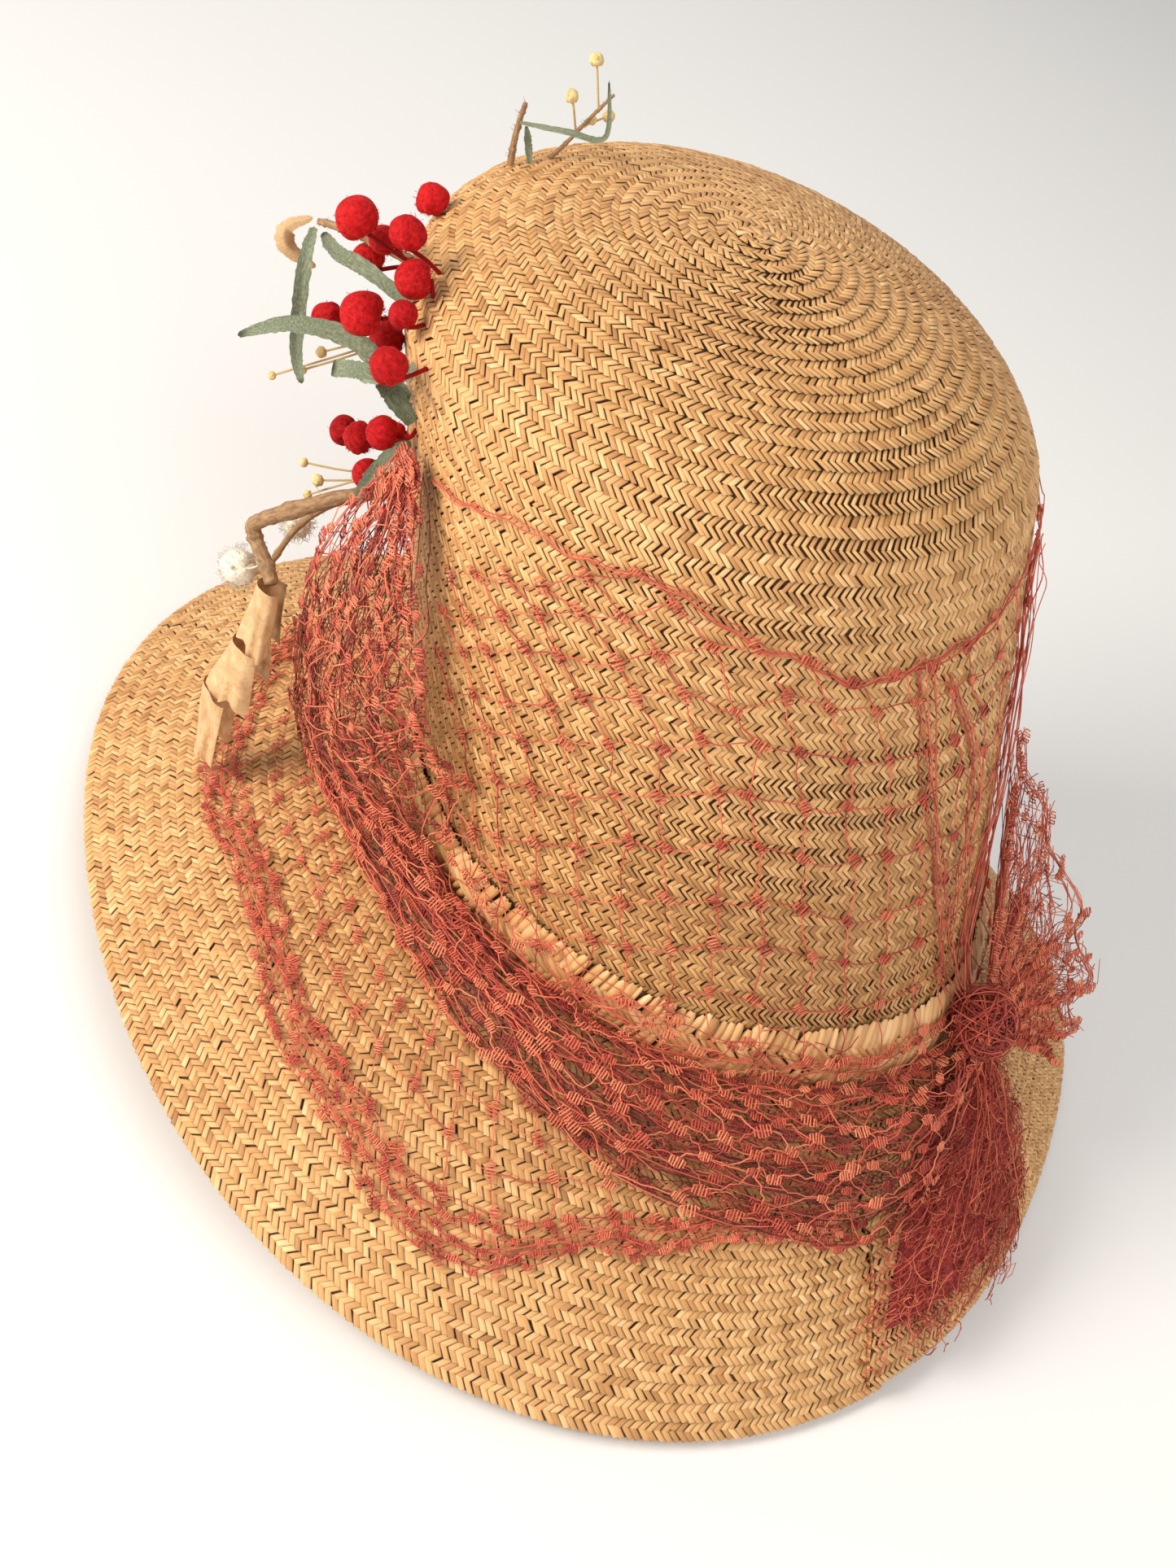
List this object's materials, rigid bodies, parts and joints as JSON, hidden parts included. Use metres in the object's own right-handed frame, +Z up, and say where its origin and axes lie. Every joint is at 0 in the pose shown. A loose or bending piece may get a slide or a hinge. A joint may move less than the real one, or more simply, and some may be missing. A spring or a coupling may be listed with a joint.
{
  "type": "straw hat",
  "caption": "Tall leaning straw hat with a drooping slit brim, a coarse plait, a gathered net veil and a spray of berries, leaves and dried petals.",
  "frame": {"origin": "middle of the hat's overall box, on the floor under the rim", "axes": "+Z up through the crown, -Y to the front, +Y to the back with the brim's slit, +X to the wearer's left"},
  "size_m": [0.3165, 0.3346, 0.2396],
  "materials": {
    "straw": "sewn herringbone straw plait, satin",
    "coarse_straw": "coarse wheat-ear straw plait, slightly glossy",
    "veil_net": "coral red thread net",
    "berry_velvet": "red velvet over a soft ball",
    "dried_leaf": "matt grey-green leaf",
    "twig_bark": "dry bark",
    "papery_petal": "thin papery tan petal",
    "bud_wool": "woolly bud"
  },
  "bodies": {
    "root": {"base_plait": "coarse_straw", "berry_01": "berry_velvet", "berry_02": "berry_velvet", "berry_03": "berry_velvet", "berry_04": "berry_velvet", "berry_05": "berry_velvet", "berry_06": "berry_velvet", "berry_07": "berry_velvet", "berry_08": "berry_velvet", "berry_09": "berry_velvet", "berry_10": "berry_velvet", "berry_11": "berry_velvet", "berry_12": "berry_velvet", "berry_13": "berry_velvet", "berry_14": "berry_velvet", "berry_15": "berry_velvet", "berry_16": "berry_velvet", "brim": "straw", "bud_far": "bud_wool", "bud_low": "bud_wool", "bud_top_1": "bud_wool", "bud_top_2": "bud_wool", "bud_top_3": "bud_wool", "bud_woolly_left": "bud_wool", "bud_woolly_right": "bud_wool", "crown": "straw", "curled_leaf": "papery_petal", "leaf_cut": "dried_leaf", "leaf_dark": "dried_leaf", "leaf_fork": "dried_leaf", "leaf_hanging": "dried_leaf", "leaf_long": "dried_leaf", "leaf_low": "dried_leaf", "petal_pale": "papery_petal", "petal_roll": "papery_petal", "petal_tube": "papery_petal", "top_blade": "dried_leaf", "top_leaf": "dried_leaf", "top_stem": "twig_bark", "top_twig": "twig_bark", "twig_brown": "twig_bark", "twig_thick": "twig_bark", "twig_thin": "twig_bark", "veil_brim": "veil_net", "veil_crown": "veil_net", "veil_fall": "veil_net", "veil_fan": "veil_net", "veil_knot": "veil_net", "veil_swag": "veil_net", "veil_tail": "veil_net"}
  },
  "joints": []
}
